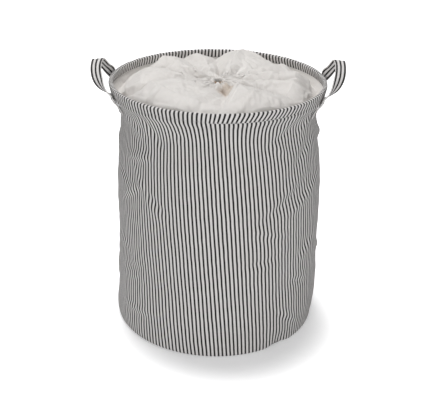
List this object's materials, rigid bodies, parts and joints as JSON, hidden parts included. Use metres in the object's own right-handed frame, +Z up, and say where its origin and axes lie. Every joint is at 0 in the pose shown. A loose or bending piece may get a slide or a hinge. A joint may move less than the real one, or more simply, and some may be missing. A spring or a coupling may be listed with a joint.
{
  "type": "laundry bag",
  "caption": "Round collapsible laundry bag: striped canvas wall on a wire hoop, strap handles at both sides and a gathered drawstring cover.",
  "frame": {"origin": "centre of the base on the floor", "axes": "+Z up through the mouth; -Y is the front; the two handles stand on +X and -X"},
  "size_m": [0.4374, 0.3824, 0.4983],
  "materials": {
    "striped_canvas": "plain-woven cotton and polyester canvas with narrow upright stripes of black and off-white, thin clear coating on the inside, matt",
    "base_canvas": "plain grey-beige coated canvas, matt outside, slight sheen inside",
    "seam_tape": "woven bias tape, matt",
    "hoop_steel": "drawn spring-steel wire, bare",
    "sleeve_aluminium": "crimped, bare",
    "striped_webbing": "folded striped canvas strap, three black stripes, matt",
    "cover_cotton": "soft off-white cotton muslin, matt, lightly creased",
    "cotton_cord": "twisted cotton cord, matt"
  },
  "bodies": {
    "bag": {"wall": "striped_canvas", "base_panel": "base_canvas", "base_binding": "seam_tape", "side_seam_tape": "seam_tape"},
    "rim": {"rim_hem": "striped_canvas", "rim_wire": "hoop_steel", "wire_sleeve": "sleeve_aluminium", "left_tab_front": "striped_webbing", "left_tab_back": "striped_webbing", "right_tab_front": "striped_webbing", "right_tab_back": "striped_webbing", "cover": "cover_cotton"},
    "handle_left": {"left_handle_strap": "striped_webbing"},
    "handle_right": {"right_handle_strap": "striped_webbing"},
    "mouth": {"mouth_channel": "cover_cotton", "drawcord": "cotton_cord"}
  },
  "joints": [
    {"name": "collapse", "type": "slide", "parent": "bag", "child": "rim", "axis": [0, 0, 1], "range_m": [-0.385, 0], "deforming": ["wall", "side_seam_tape"]},
    {"name": "handle_left_swing", "type": "hinge", "parent": "rim", "child": "handle_left", "pos_m": [-0.1879, -0.01512, 0.4465], "axis": [0.0802, -0.9968, 0], "range_deg": [-22, 126]},
    {"name": "handle_right_swing", "type": "hinge", "parent": "rim", "child": "handle_right", "pos_m": [0.1879, -0.01512, 0.4465], "axis": [0.0802, 0.9968, 0], "range_deg": [-22, 126]},
    {"name": "mouth_lift", "type": "slide", "parent": "rim", "child": "mouth", "axis": [0, 0, 1], "range_m": [0, 0.08], "deforming": ["cover"]}
  ]
}
